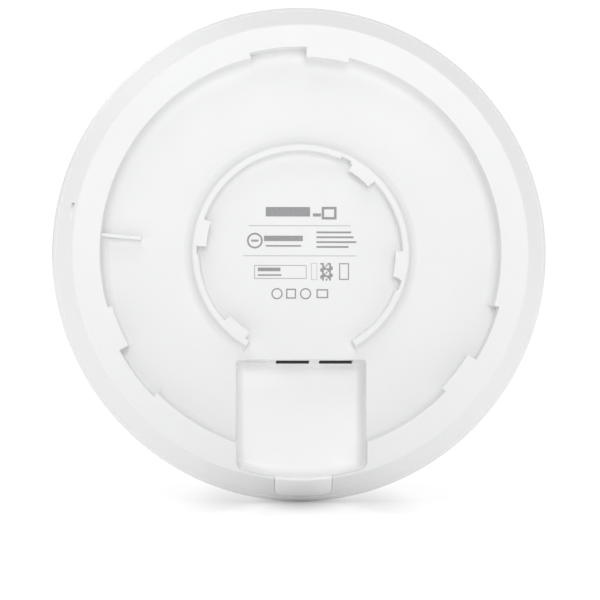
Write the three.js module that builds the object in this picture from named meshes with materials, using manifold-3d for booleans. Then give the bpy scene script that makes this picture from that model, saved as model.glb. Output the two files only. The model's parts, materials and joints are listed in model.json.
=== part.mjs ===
// Ceiling access point, standing on its edge with its mounting side towards +Y.
//
// Millimetres, +Z up. The disc's axis is Y. The origin is the centre of the flat back ring
// (the plane y = 0), and the dome bulges towards -Y. Angles go counter-clockwise as seen from
// behind, starting at the -X side, so the cable pocket is at 270 degrees.

import * as THREE from 'three';
import { mergeVertices } from 'three/addons/utils/BufferGeometryUtils.js';
import Module from 'manifold-3d';

const wasm = await Module();
wasm.setup();

// ---------------------------------------------------------------- driving dimensions

const OUTER_RADIUS = 110;
const TOTAL_DEPTH = 48;
const FIT_GAP = 0.3; // left between pieces that touch
const WALL = 2; // moulded walls
const OVERRUN = 2; // how far a cutter runs past the surface that it cuts
const SINK = 0.5; // how far a rib or boss reaches into the wall that carries it

// back cover
const LIP_RADIUS = 99.7; // outer edge of the flat back ring
const SEAM_RADIUS = 108; // where the back cover meets the dome
const SEAM_DEPTH = 12;
const SKIRT_OUTER = 105.8; // locating skirt inside the dome's rim
const SKIRT_THICKNESS = 1.6;
const SKIRT_LENGTH = 3.5;
const RECESS_RADIUS = 87.7; // bracket recess, at its mouth
const RECESS_DRAFT = 0.7; // how much narrower the recess is at its floor
const RECESS_DEPTH = 9;
const RECESS_WALL = 4; // leaves room for the bayonet notches

// bayonet on the recess rim: each unit is an inward tab followed by an outward notch
const BAYONET_STARTS = [76, 196, 316];
const BAYONET_TAB_SPAN = 12.5;
const BAYONET_NOTCH_SPAN = 16;
const BAYONET_STEP = 2.2; // radial size of tab and notch
const BAYONET_TAB_THICKNESS = 3;

// C-shaped locating ring in the middle of the recess
const RING_INNER = 44.6;
const RING_TOP_OUTER = 47.6;
const RING_FOOT_OUTER = 52.8;
const RING_HEIGHT = 6.2;
const RING_GAP = 60; // degrees, open towards the cable pocket
const RING_TABS = [52, 169, 229.5, 353];
const RING_TAB_SPAN = 15.5;
const RING_TAB_REACH = 3.1;
const RING_TAB_THICKNESS = 2.4;
const RING_SLOTS = [64, 178.2, 341.5];
const RING_SLOT_SPAN = 6;
const RING_SLOT_DEPTH = 1.2;

// stop rib, and the shallow notch for releasing the bracket
const RIB = { angle: 175, length: 17.5, thickness: 1.6, height: 5 };
const RELEASE_NOTCH = { angle: 169.8, radius: 101.7, length: 7, width: 1.5, depth: 5 };

// cable pocket
const POCKET_X = -0.3; // the pocket sits slightly to one side
const POCKET_WIDTH = 56.8;
const POCKET_TOP = 47.3; // below the centre, at the recess floor
const POCKET_FLOOR = 25.5; // below the back plane
const POCKET_LEAN = 1.2; // how far the port wall leans down over its height
const POCKET_RADIUS = 98.7; // inner face of the pocket's end wall
const POCKET_WALL = 1.6;

// cable outlet cover, in the pocket's end wall and the flank
const OUTLET_X = -1;
const OUTLET_WIDTH = 25;
const OUTLET_DEPTH = 10.4;
const OUTLET_CORNER = 2.5;

// boards
const BOARD_BACK = 24.9; // below the back plane
const BOARD_THICKNESS = 1.6;
const BOARD_RADIUS = 88;
const SPREADER_RADIUS = 88;
const SPREADER_THICKNESS = 2;
const CAN_HEIGHT = 3;
const PAD_THICKNESS = 0.9;
const SCREW_CIRCLE = 70;
const SCREW_ANGLES = [45, 135, 225, 315];
const SCREW_RADIUS = 1.3;
const SCREW_HEAD_RADIUS = 3;
const SCREW_HEAD_HEIGHT = 1.8;
const SCREW_LENGTH = 17;
const BOSS_RADIUS = 3.6;
const BOSS_HOLE_LENGTH = 11;

// ports, along X
const MAIN_PORT_X = 3.2;
const SECOND_PORT_X = -16.1;
const RESET_X = 19.3;
const RESET_DEPTH = 20; // middle of the button, below the back plane
const JACK = { width: 16, length: 21, wall: 0.6 };
const PORT_OPENING = { width: 15, back: 11.9, front: 24 };
const PLUG = { width: 11.8, height: 7.4, depth: 13, latchWidth: 6.2, latchHeight: 2.2 };
const PLUG_OFF_CENTRE = 0.9; // the plug sits nearer to the board than to the cover
const CONTACTS = { count: 8, pitch: 1.02, width: 0.4, thickness: 0.5, reach: 9 };
const CONTACT_BAR = { width: 8.4, height: 1.6, thickness: 1 };
const RESET_OPENING = { width: 8.8, height: 5 };
const RESET_TRAVEL = 0.8;
const RESET_CAP = { sink: 0.6, thickness: 3.4 };
const RESET_STEM = { width: 3, height: 2.4, end: 7.5 }; // its end is that far above the port wall
const RESET_SWITCH = { width: 7.2, height: 3.6, reach: 3.2 };

// dome and light ring
const DOME_SHOULDER = 17; // depth at which the dome is widest
const DOME_WALL = 2.4;
const DOME_RIM_INNER = 106.3;
const DOME_POWER = 2.4; // exponent of the superellipse that the dome follows
const LIGHT_OUTER = 49;
const LIGHT_INNER = 46.3;
const LIGHT_FLANGE = { inner: 42.5, outer: 53, back: 41.3, thickness: 1.5 };
const LED_BOARD = { inner: 43.5, outer: 52, back: 38.7, thickness: 1.2 };
const LED_ANGLES = [45, 135, 225, 315];
const LED_CHIP = { radial: 2.8, across: 3.2 };
const POST_ANGLES = [90, 210, 330];
const POST_RADIUS = 2;

// antennas
const ANTENNA_CIRCLE = 70;
const LOW_BAND_ANGLES = [22.5, 112.5, 202.5, 292.5];
const HIGH_BAND_ANGLES = [67.5, 157.5, 247.5, 337.5];
const LEAD_HOLE_CIRCLE = 56;
const LEAD_HOLE_CIRCLE_AT_POCKET = 46; // clear of the pocket's tray
const LEAD_HOLE_RADIUS = 2;
const LEAD_RADIUS = 0.7;

const ANTENNA_HEIGHT = { low: 5.6, high: 4 };
const ANTENNA_WIDTH = { low: 24, high: 13 };
const ANTENNA_FOOT = 12;
const SHEET = 0.6;

// parts on the main board
const MAGNETICS = { width: 14, length: 12, height: 6, offset: 10 }; // offset from the jack's end
const TRANSFORMER = { x: -46, z: -22, width: 20, length: 22, height: 12 };
const INDUCTOR = { x: -46, z: 4, width: 12, length: 12, height: 7 };
const CAPACITORS = { radius: 4.5, height: 12, places: [[44, -22], [55, -22], [44, -10]] };
const CANS = [
  { name: 'low_band', chip: 'radio_chip', x: 32, z: 28, width: 30, length: 30 },
  { name: 'high_band', chip: 'radio_chip', x: -32, z: 28, width: 30, length: 30 },
  { name: 'processor', chip: 'chip', x: 0, z: -14, width: 42, length: 34 },
];
const CAN_WALL = 0.5;
const CHIP_SIZE = 14;
const CHIP_HEIGHT = 1.4;
const PAD_SIZE = 18;
const MEMORY_CHIP = { x: -32, z: -14, size: 11 };
const FLASH_CHIP = { x: 32, z: -14, size: 9 };
const RIBBON = { x: 12, z: 20, width: 6, thickness: 0.4 };

const LATHE_STEPS = 72;
const SMALL_ROUND_STEPS = 14;

// ---------------------------------------------------------------- derived places

const SKIRT_INNER = SKIRT_OUTER - SKIRT_THICKNESS;
const COVER_INSIDE = RECESS_DEPTH + WALL;
const POCKET_LEFT = POCKET_X - POCKET_WIDTH / 2;
const POCKET_RIGHT = POCKET_X + POCKET_WIDTH / 2;
const PORT_SLOPE = POCKET_LEAN / (POCKET_FLOOR - RECESS_DEPTH);
const BOARD_FRONT = BOARD_BACK + BOARD_THICKNESS;
const CAN_BACK = BOARD_FRONT + FIT_GAP;
const PAD_BACK = CAN_BACK + CAN_HEIGHT + FIT_GAP;
const SPREADER_BACK = PAD_BACK + PAD_THICKNESS + FIT_GAP;
const SPREADER_FRONT = SPREADER_BACK + SPREADER_THICKNESS;
const JACK_BACK = COVER_INSIDE + FIT_GAP;
const JACK_HEIGHT = BOARD_BACK - FIT_GAP - JACK_BACK;
const JACK_FRONT_Z = -(POCKET_TOP - WALL) - 0.1; // just inside the port wall

// ---------------------------------------------------------------- solids

function makeSolid(geometry) {
  geometry.deleteAttribute('normal');
  geometry.deleteAttribute('uv');
  const merged = mergeVertices(geometry, 1e-4);
  const position = merged.getAttribute('position');
  const index = merged.getIndex().array;
  const triangles = [];
  let volume = 0;
  const a = new THREE.Vector3();
  const b = new THREE.Vector3();
  const c = new THREE.Vector3();
  for (let i = 0; i < index.length; i += 3) {
    const [i0, i1, i2] = [index[i], index[i + 1], index[i + 2]];
    if (i0 === i1 || i1 === i2 || i2 === i0) continue;
    triangles.push(i0, i1, i2);
    a.fromBufferAttribute(position, i0);
    b.fromBufferAttribute(position, i1);
    c.fromBufferAttribute(position, i2);
    volume += a.dot(b.cross(c));
  }
  if (volume < 0) triangles.reverse();
  const mesh = new wasm.Mesh({
    numProp: 3,
    vertProperties: new Float32Array(position.array),
    triVerts: new Uint32Array(triangles),
  });
  return new wasm.Manifold(mesh);
}

function toGeometry(solid) {
  const mesh = solid.getMesh();
  const geometry = new THREE.BufferGeometry();
  geometry.setAttribute('position', new THREE.BufferAttribute(mesh.vertProperties, 3));
  geometry.setIndex(new THREE.BufferAttribute(mesh.triVerts, 1));
  geometry.computeVertexNormals();
  return geometry;
}

const radians = THREE.MathUtils.degToRad;

// A point on the disc, from its radius, its angle seen from behind and its depth.
function onDisc(radius, angle, depth) {
  return new THREE.Vector3(-radius * Math.cos(radians(angle)), -depth, radius * Math.sin(radians(angle)));
}

// A solid of revolution about the disc's axis, from [radius, depth] corners.
function turned(corners, steps = LATHE_STEPS) {
  const profile = corners.map(([radius, depth]) => new THREE.Vector2(radius, -depth));
  const closed = corners[0][0] === 0 ? profile : [...profile, profile[0].clone()];
  return makeSolid(new THREE.LatheGeometry(closed, steps));
}

// A flat outline in X and Z, extruded forwards from one depth to another.
function plate(shape, back, front, curveSegments = 12) {
  const depth = front - back;
  const geometry = new THREE.ExtrudeGeometry(shape, { depth, bevelEnabled: false, curveSegments });
  geometry.rotateX(Math.PI / 2);
  geometry.translate(0, -back, 0);
  return makeSolid(geometry);
}

// An outline in Z and depth, extruded along X.
function extrudedAlongX(shape, startX, endX) {
  const geometry = new THREE.ExtrudeGeometry(shape, { depth: endX - startX, bevelEnabled: false });
  geometry.applyMatrix4(new THREE.Matrix4().set(
    0, 0, 1, startX,
    0, -1, 0, 0,
    1, 0, 0, 0,
    0, 0, 0, 1,
  ));
  return makeSolid(geometry);
}

// A block that follows the disc's curve between two radii, two depths and two angles.
function sector(inner, outer, back, front, startAngle, endAngle) {
  const from = Math.PI - radians(endAngle);
  const to = Math.PI - radians(startAngle);
  const shape = new THREE.Shape();
  shape.absarc(0, 0, outer, from, to, false);
  shape.absarc(0, 0, inner, to, from, true);
  const steps = Math.max(2, Math.round((endAngle - startAngle) / (360 / LATHE_STEPS)));
  return plate(shape, back, front, steps);
}

// A box from its extents in X, in depth and in Z.
function block(x, depth, z) {
  const geometry = new THREE.BoxGeometry(x[1] - x[0], depth[1] - depth[0], z[1] - z[0]);
  geometry.translate((x[0] + x[1]) / 2, -(depth[0] + depth[1]) / 2, (z[0] + z[1]) / 2);
  return makeSolid(geometry);
}

// A round bar along the disc's axis.
function bar(radius, back, front, centre = new THREE.Vector3(), steps = SMALL_ROUND_STEPS) {
  const geometry = new THREE.CylinderGeometry(radius, radius, front - back, steps);
  geometry.translate(centre.x, -(back + front) / 2, centre.z);
  return makeSolid(geometry);
}

// Turns a solid that was made at angle 180 (the +X side) to another angle seen from behind.
function turnTo(solid, angle) {
  return solid.rotate([0, angle - 180, 0]);
}

// A box at one angle of the disc: radial size, depth and tangential size about its middle.
function discBlock(angle, radii, depth, width) {
  return turnTo(block(radii, depth, [-width / 2, width / 2]), angle);
}

// ---------------------------------------------------------------- materials and nodes

const part = new THREE.Group();

const materials = {
  whitePlastic: { color: 0xf0f1f2, roughness: 0.45, metalness: 0 },
  domePlastic: { color: 0xf2f3f4, roughness: 0.35, metalness: 0 },
  diffuser: { color: 0xe6edf2, roughness: 0.3, metalness: 0 },
  greyPlastic: { color: 0xb9bcc0, roughness: 0.5, metalness: 0 },
  blackPlastic: { color: 0x202123, roughness: 0.5, metalness: 0 },
  boardGreen: { color: 0x1f5a3c, roughness: 0.5, metalness: 0.1 },
  boardWhite: { color: 0xe9e9e4, roughness: 0.5, metalness: 0 },
  aluminium: { color: 0xc3c6ca, roughness: 0.35, metalness: 1 },
  tinnedSteel: { color: 0xcfd1d2, roughness: 0.3, metalness: 1 },
  gold: { color: 0xd9b35b, roughness: 0.25, metalness: 1 },
  brass: { color: 0xc9a04e, roughness: 0.3, metalness: 1 },
  thermalPad: { color: 0x8fa3b5, roughness: 0.8, metalness: 0 },
  ferrite: { color: 0x3a3b3d, roughness: 0.7, metalness: 0 },
  screwSteel: { color: 0x8f9295, roughness: 0.35, metalness: 1 },
};

function addNode(name, solid, material) {
  const mesh = new THREE.Mesh(toGeometry(solid), new THREE.MeshStandardMaterial(materials[material]));
  mesh.name = name;
  part.add(mesh);
}

// ---------------------------------------------------------------- back cover

function flankRadius(depth) {
  return LIP_RADIUS + (SEAM_RADIUS - LIP_RADIUS) * depth / SEAM_DEPTH;
}

// Depth of the flank's inner face at a radius: one wall thickness inside the outer face.
function flankInnerDepth(radius) {
  const slope = SEAM_DEPTH / (SEAM_RADIUS - LIP_RADIUS);
  const sideways = WALL * Math.hypot(1, 1 / slope);
  return (radius + sideways - LIP_RADIUS) * slope;
}

function flankInnerRadius(depth) {
  return flankRadius(depth) - WALL * Math.hypot(1, (SEAM_RADIUS - LIP_RADIUS) / SEAM_DEPTH);
}

function coverShell() {
  return turned([
    [0, RECESS_DEPTH],
    [RECESS_RADIUS - RECESS_DRAFT, RECESS_DEPTH],
    [RECESS_RADIUS, 0],
    [LIP_RADIUS, 0],
    [SEAM_RADIUS, SEAM_DEPTH],
    [SKIRT_OUTER, SEAM_DEPTH],
    [SKIRT_OUTER, SEAM_DEPTH + SKIRT_LENGTH],
    [SKIRT_INNER, SEAM_DEPTH + SKIRT_LENGTH],
    [SKIRT_INNER, flankInnerDepth(SKIRT_INNER)],
    [flankInnerRadius(WALL), WALL],
    [RECESS_RADIUS + RECESS_WALL, WALL],
    [RECESS_RADIUS + RECESS_WALL, COVER_INSIDE],
    [0, COVER_INSIDE],
  ]);
}

// Everything inside the back ring and the flank, as a plain cone.
function coverEnvelope() {
  return turned([[0, 0], [LIP_RADIUS, 0], [SEAM_RADIUS, SEAM_DEPTH], [0, SEAM_DEPTH]]);
}

function addBayonet(cover) {
  let result = cover;
  for (const start of BAYONET_STARTS) {
    const notchStart = start + BAYONET_TAB_SPAN;
    const tab = sector(RECESS_RADIUS - BAYONET_STEP, RECESS_RADIUS + 1, 0, BAYONET_TAB_THICKNESS,
      start, notchStart);
    const notch = sector(RECESS_RADIUS - BAYONET_STEP, RECESS_RADIUS + BAYONET_STEP, -OVERRUN,
      RECESS_DEPTH - FIT_GAP, notchStart, notchStart + BAYONET_NOTCH_SPAN);
    result = result.add(tab).subtract(notch);
  }
  return result;
}

function locatingRing() {
  const top = RECESS_DEPTH - RING_HEIGHT;
  const halfHeight = RECESS_DEPTH - 0.4 * RING_HEIGHT;
  let ring = turned([
    [RING_INNER, top],
    [RING_TOP_OUTER, top],
    [RING_TOP_OUTER + 0.25 * (RING_FOOT_OUTER - RING_TOP_OUTER), halfHeight],
    [RING_FOOT_OUTER, RECESS_DEPTH],
    [RING_FOOT_OUTER, RECESS_DEPTH + SINK],
    [RING_INNER, RECESS_DEPTH + SINK],
  ]);
  for (const middle of RING_SLOTS) {
    const start = middle - RING_SLOT_SPAN / 2;
    ring = ring.subtract(sector(RING_INNER - OVERRUN, RING_INNER + RING_SLOT_DEPTH, top - OVERRUN,
      RECESS_DEPTH - FIT_GAP, start, start + RING_SLOT_SPAN));
  }
  for (const middle of RING_TABS) {
    const start = middle - RING_TAB_SPAN / 2;
    ring = ring.add(sector(RING_INNER - RING_TAB_REACH, RING_INNER + 1, top, top + RING_TAB_THICKNESS,
      start, start + RING_TAB_SPAN));
  }
  const gapStart = 270 - RING_GAP / 2;
  const gap = sector(RING_INNER - 2 * RING_TAB_REACH, RING_FOOT_OUTER + OVERRUN, 0, RECESS_DEPTH + OVERRUN,
    gapStart, gapStart + RING_GAP);
  return ring.subtract(gap);
}

// The pocket's outline in X and Z; grow makes the outside of its walls.
function pocketShape(grow) {
  const left = POCKET_LEFT - grow;
  const right = POCKET_RIGHT + grow;
  const radius = POCKET_RADIUS + grow;
  const top = -POCKET_TOP + OVERRUN + grow;
  const shape = new THREE.Shape();
  shape.moveTo(right, top);
  shape.lineTo(left, top);
  const leftCorner = Math.asin(left / radius) - Math.PI / 2;
  const rightCorner = Math.asin(right / radius) - Math.PI / 2;
  shape.absarc(0, 0, radius, leftCorner, rightCorner, false);
  return shape;
}

// A wedge that fills the pocket's upper end down to the leaning port wall; grow is as above.
function portWallWedge(grow, back, front) {
  const wallZ = (depth) => -(POCKET_TOP + PORT_SLOPE * (depth - RECESS_DEPTH)) + grow;
  const above = -POCKET_TOP + 3 * OVERRUN;
  const half = POCKET_WIDTH / 2 + OVERRUN + grow;
  const shape = new THREE.Shape();
  shape.moveTo(wallZ(back), back);
  shape.lineTo(wallZ(front), front);
  shape.lineTo(above, front);
  shape.lineTo(above, back);
  return extrudedAlongX(shape, POCKET_X - half, POCKET_X + half);
}

function pocketCavity() {
  const cavity = plate(pocketShape(0), -OVERRUN, POCKET_FLOOR, 8);
  return cavity.subtract(portWallWedge(0, -2 * OVERRUN, POCKET_FLOOR + OVERRUN));
}

function pocketTray() {
  const back = RECESS_DEPTH + 0.5 * WALL;
  const bottom = POCKET_FLOOR + POCKET_WALL;
  const tray = plate(pocketShape(POCKET_WALL), back, bottom, 8);
  return tray.subtract(portWallWedge(WALL, back - OVERRUN, bottom + OVERRUN));
}

// The pocket's walls between the back ring and the recess floor, where the recess does not reach.
function pocketRim() {
  const recess = bar(RECESS_RADIUS, 0, RECESS_DEPTH + 2 * WALL, undefined, LATHE_STEPS);
  return plate(pocketShape(POCKET_WALL), WALL / 2, COVER_INSIDE, 8).subtract(recess);
}

function portCutters() {
  const reach = [-POCKET_TOP - POCKET_LEAN - OVERRUN, -POCKET_TOP + 2 * OVERRUN];
  const half = PORT_OPENING.width / 2;
  const openings = [MAIN_PORT_X, SECOND_PORT_X].map((x) =>
    block([x - half, x + half], [PORT_OPENING.back, PORT_OPENING.front], reach));
  const resetHalf = RESET_OPENING.width / 2;
  const resetDepth = [RESET_DEPTH - RESET_OPENING.height / 2, RESET_DEPTH + RESET_OPENING.height / 2];
  openings.push(block([RESET_X - resetHalf, RESET_X + resetHalf], resetDepth, reach));
  return openings;
}

// The outlet's outline in X and depth, swept along Z through the pocket's end wall and the flank.
function outletPrism(grow) {
  const left = OUTLET_X - OUTLET_WIDTH / 2 - grow;
  const right = OUTLET_X + OUTLET_WIDTH / 2 + grow;
  const depth = OUTLET_DEPTH + grow;
  const cornerDepth = depth - OUTLET_CORNER;
  const shape = new THREE.Shape();
  shape.moveTo(left, -OVERRUN);
  shape.lineTo(right, -OVERRUN);
  shape.lineTo(right, cornerDepth);
  shape.absarc(right - OUTLET_CORNER, cornerDepth, OUTLET_CORNER, 0, Math.PI / 2, false);
  shape.lineTo(left + OUTLET_CORNER, depth);
  shape.absarc(left + OUTLET_CORNER, cornerDepth, OUTLET_CORNER, Math.PI / 2, Math.PI, false);
  const startZ = -SEAM_RADIUS - OVERRUN;
  const endZ = -POCKET_RADIUS + 3 * OVERRUN;
  const options = { depth: endZ - startZ, bevelEnabled: false, curveSegments: 4 };
  const geometry = new THREE.ExtrudeGeometry(shape, options);
  geometry.applyMatrix4(new THREE.Matrix4().set(
    1, 0, 0, 0,
    0, -1, 0, 0,
    0, 0, 1, startZ,
    0, 0, 0, 1,
  ));
  return makeSolid(geometry);
}

function coverBosses(cover) {
  let result = cover;
  for (const angle of SCREW_ANGLES) {
    const centre = onDisc(SCREW_CIRCLE, angle, 0);
    const boss = bar(BOSS_RADIUS, COVER_INSIDE - SINK, BOARD_BACK - FIT_GAP, centre);
    const hole = bar(SCREW_RADIUS + FIT_GAP, BOARD_BACK - BOSS_HOLE_LENGTH, BOARD_BACK + OVERRUN, centre);
    result = result.add(boss).subtract(hole);
  }
  return result;
}

function backCover() {
  const ribOuter = RECESS_RADIUS + 1;
  const rib = discBlock(RIB.angle, [ribOuter - RIB.length - 1, ribOuter],
    [RECESS_DEPTH - RIB.height, RECESS_DEPTH + SINK], RIB.thickness);
  const { angle, radius, length, width, depth } = RELEASE_NOTCH;
  const notch = discBlock(angle, [radius - width / 2, radius + width / 2], [0, depth], length);
  const notchWalls = discBlock(angle, [radius - width / 2 - WALL, radius + width / 2 + WALL],
    [WALL, depth + WALL], length + 2 * WALL).intersect(coverEnvelope());
  let cover = coverShell().add(pocketTray()).add(pocketRim()).add(notchWalls);
  cover = addBayonet(cover).add(locatingRing()).add(rib).subtract(notch).subtract(pocketCavity());
  for (const cutter of portCutters()) cover = cover.subtract(cutter);
  cover = cover.subtract(outletPrism(FIT_GAP));
  return coverBosses(cover);
}

function cableOutletCover() {
  const blank = turned([
    [POCKET_RADIUS, 0],
    [LIP_RADIUS, 0],
    [flankRadius(OUTLET_DEPTH + 1), OUTLET_DEPTH + 1],
    [POCKET_RADIUS, OUTLET_DEPTH + 1],
  ]);
  return blank.intersect(outletPrism(0));
}

addNode('back_cover', backCover(), 'whitePlastic');
addNode('cable_outlet_cover', cableOutletCover(), 'whitePlastic');

// ---------------------------------------------------------------- dome, light ring and cap

// Depth of the dome's outer or inner surface at a radius.
function domeDepth(radius, inset = 0) {
  const widest = OUTER_RADIUS - (inset > 0 ? OUTER_RADIUS - DOME_RIM_INNER - 0.5 : 0);
  const height = TOTAL_DEPTH - DOME_SHOULDER - inset;
  return DOME_SHOULDER + height * (1 - (radius / widest) ** DOME_POWER) ** (1 / DOME_POWER);
}

// Points of the dome's curve from its widest circle to a smaller radius.
function domeCurve(endRadius, inset, steps) {
  const widest = OUTER_RADIUS - (inset > 0 ? OUTER_RADIUS - DOME_RIM_INNER - 0.5 : 0);
  const lastAngle = Math.acos((endRadius / widest) ** (DOME_POWER / 2));
  const points = [];
  for (let i = 0; i <= steps; i += 1) {
    const radius = widest * Math.cos(lastAngle * i / steps) ** (2 / DOME_POWER);
    points.push([radius, domeDepth(Math.min(radius, widest), inset)]);
  }
  return points;
}

function domeCover() {
  const hole = LIGHT_OUTER + FIT_GAP;
  const rimTop = SEAM_DEPTH + FIT_GAP;
  return turned([
    [DOME_RIM_INNER, rimTop],
    [SEAM_RADIUS + 0.2, rimTop],
    [OUTER_RADIUS - 0.5, rimTop + 2],
    ...domeCurve(hole, 0, 9),
    ...domeCurve(hole, DOME_WALL, 7).reverse(),
  ]);
}

function lightGuideRing() {
  const { inner, outer, back, thickness } = LIGHT_FLANGE;
  const front = back + thickness;
  return turned([
    [LIGHT_INNER, domeDepth(LIGHT_INNER)],
    [LIGHT_INNER, front],
    [inner, front],
    [inner, back],
    [outer, back],
    [outer, front],
    [LIGHT_OUTER, front],
    [LIGHT_OUTER, domeDepth(LIGHT_OUTER)],
  ]);
}

function domeCentreCap() {
  const edge = LIGHT_INNER - FIT_GAP;
  const seat = LIGHT_FLANGE.back + LIGHT_FLANGE.thickness + FIT_GAP;
  const seatWidth = 2.5;
  const outside = [0, 0.35, 0.7, 1].map((share) => [edge * share, domeDepth(edge * share)]);
  return turned([
    ...outside,
    [edge, seat],
    [edge - seatWidth, seat],
    [edge - seatWidth, domeDepth(edge - seatWidth) - DOME_WALL],
    [0, TOTAL_DEPTH - DOME_WALL],
  ]);
}

addNode('dome_cover', domeCover(), 'domePlastic');
addNode('light_guide_ring', lightGuideRing(), 'diffuser');
addNode('dome_centre_cap', domeCentreCap(), 'domePlastic');

// ---------------------------------------------------------------- boards and heat spreader

function mainBoard() {
  let board = bar(BOARD_RADIUS, BOARD_BACK, BOARD_FRONT, undefined, LATHE_STEPS);
  const margin = POCKET_WALL + 1;
  const edge = -(POCKET_TOP - WALL + PORT_SLOPE * (BOARD_BACK - RECESS_DEPTH)) + FIT_GAP;
  const through = [BOARD_BACK - OVERRUN, BOARD_FRONT + OVERRUN];
  const cutOutX = [POCKET_LEFT - margin, POCKET_RIGHT + margin];
  board = board.subtract(block(cutOutX, through, [-BOARD_RADIUS - OVERRUN, edge]));
  for (const angle of SCREW_ANGLES) {
    const centre = onDisc(SCREW_CIRCLE, angle, 0);
    board = board.subtract(bar(SCREW_RADIUS + FIT_GAP, ...through, centre));
  }
  return board;
}

function leadHoleRadius(angle) {
  return Math.abs(angle - 270) < 30 ? LEAD_HOLE_CIRCLE_AT_POCKET : LEAD_HOLE_CIRCLE;
}

function heatSpreader() {
  let spreader = bar(SPREADER_RADIUS, SPREADER_BACK, SPREADER_FRONT, undefined, LATHE_STEPS);
  for (const angle of POST_ANGLES) {
    const centre = onDisc((LED_BOARD.inner + LED_BOARD.outer) / 2, angle, 0);
    spreader = spreader.add(bar(POST_RADIUS, SPREADER_FRONT - SINK, LED_BOARD.back - FIT_GAP, centre));
  }
  for (const angle of SCREW_ANGLES) {
    const centre = onDisc(SCREW_CIRCLE, angle, 0);
    spreader = spreader.add(bar(BOSS_RADIUS, CAN_BACK, SPREADER_BACK + SINK, centre));
    const hole = bar(SCREW_RADIUS + FIT_GAP, CAN_BACK - OVERRUN, SPREADER_FRONT + OVERRUN, centre);
    spreader = spreader.subtract(hole);
  }
  const through = [SPREADER_BACK - OVERRUN, SPREADER_FRONT + OVERRUN];
  for (const angle of [...LOW_BAND_ANGLES, ...HIGH_BAND_ANGLES]) {
    const centre = onDisc(leadHoleRadius(angle), angle, 0);
    spreader = spreader.subtract(bar(LEAD_HOLE_RADIUS, ...through, centre, 10));
  }
  const halfSlot = RIBBON.width / 2 + 1;
  const slotX = [RIBBON.x - halfSlot, RIBBON.x + halfSlot];
  const slotZ = [RIBBON.z - 1.5, RIBBON.z + 1.5];
  return spreader.subtract(block(slotX, through, slotZ));
}

function boardScrew(angle) {
  const centre = onDisc(SCREW_CIRCLE, angle, 0);
  const headBack = SPREADER_FRONT + FIT_GAP;
  const head = bar(SCREW_HEAD_RADIUS, headBack, headBack + SCREW_HEAD_HEIGHT, centre);
  return head.add(bar(SCREW_RADIUS, headBack - SCREW_LENGTH, headBack + SINK, centre, 10));
}

addNode('main_board', mainBoard(), 'boardGreen');
addNode('heat_spreader', heatSpreader(), 'aluminium');
SCREW_ANGLES.forEach((angle, i) => addNode(`board_screw_${i + 1}`, boardScrew(angle), 'screwSteel'));

// ---------------------------------------------------------------- light board

function ledBoard() {
  const { inner, outer, back, thickness } = LED_BOARD;
  return turned([[inner, back], [outer, back], [outer, back + thickness], [inner, back + thickness]], 48);
}

function ledChip(angle) {
  const middle = (LIGHT_INNER + LIGHT_OUTER) / 2;
  const back = LED_BOARD.back + LED_BOARD.thickness + FIT_GAP;
  const radii = [middle - LED_CHIP.radial / 2, middle + LED_CHIP.radial / 2];
  return discBlock(angle, radii, [back, LIGHT_FLANGE.back - FIT_GAP], LED_CHIP.across);
}

// A flat ribbon from the main board, through the spreader, to the back of the light board.
function ledRibbon() {
  const { x, z, width, thickness } = RIBBON;
  const ledZ = Math.sqrt(LED_BOARD.inner ** 2 - x ** 2) + 3;
  const runDepth = LED_BOARD.back - FIT_GAP - thickness;
  const shape = new THREE.Shape();
  shape.moveTo(z, CAN_BACK);
  shape.lineTo(z + thickness, CAN_BACK);
  shape.lineTo(z + thickness, runDepth);
  shape.lineTo(ledZ, runDepth);
  shape.lineTo(ledZ, runDepth + thickness);
  shape.lineTo(z, runDepth + thickness);
  return extrudedAlongX(shape, x - width / 2, x + width / 2);
}

addNode('led_board', ledBoard(), 'boardWhite');
LED_ANGLES.forEach((angle, i) => addNode(`led_${i + 1}`, ledChip(angle), 'diffuser'));
addNode('led_ribbon', ledRibbon(), 'greyPlastic');

// ---------------------------------------------------------------- network jacks

function jackBox(x, inset, frontZ, length) {
  const half = JACK.width / 2 - inset;
  const depth = [JACK_BACK + inset, JACK_BACK + JACK_HEIGHT - inset];
  return block([x - half, x + half], depth, [frontZ, frontZ + length]);
}

function jackShell(x) {
  const cavity = jackBox(x, JACK.wall, JACK_FRONT_Z - OVERRUN, JACK.length + OVERRUN - JACK.wall);
  return jackBox(x, 0, JACK_FRONT_Z, JACK.length).subtract(cavity);
}

const PLUG_BACK = JACK_BACK + (JACK_HEIGHT - PLUG.height) / 2 + PLUG_OFF_CENTRE;

function jackInsert(x) {
  const inset = JACK.wall + FIT_GAP;
  const setBack = 0.4; // the insert's face lies that far behind the shell's
  const cavityZ = [JACK_FRONT_Z - OVERRUN, JACK_FRONT_Z + PLUG.depth];
  const body = jackBox(x, inset, JACK_FRONT_Z + setBack, JACK.length - 2 * inset - setBack);
  const half = PLUG.width / 2;
  const plug = block([x - half, x + half], [PLUG_BACK, PLUG_BACK + PLUG.height], cavityZ);
  const latchHalf = PLUG.latchWidth / 2;
  const latchDepth = [PLUG_BACK - PLUG.latchHeight, PLUG_BACK + OVERRUN];
  const latch = block([x - latchHalf, x + latchHalf], latchDepth, cavityZ);
  return body.subtract(plug).subtract(latch);
}

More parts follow.
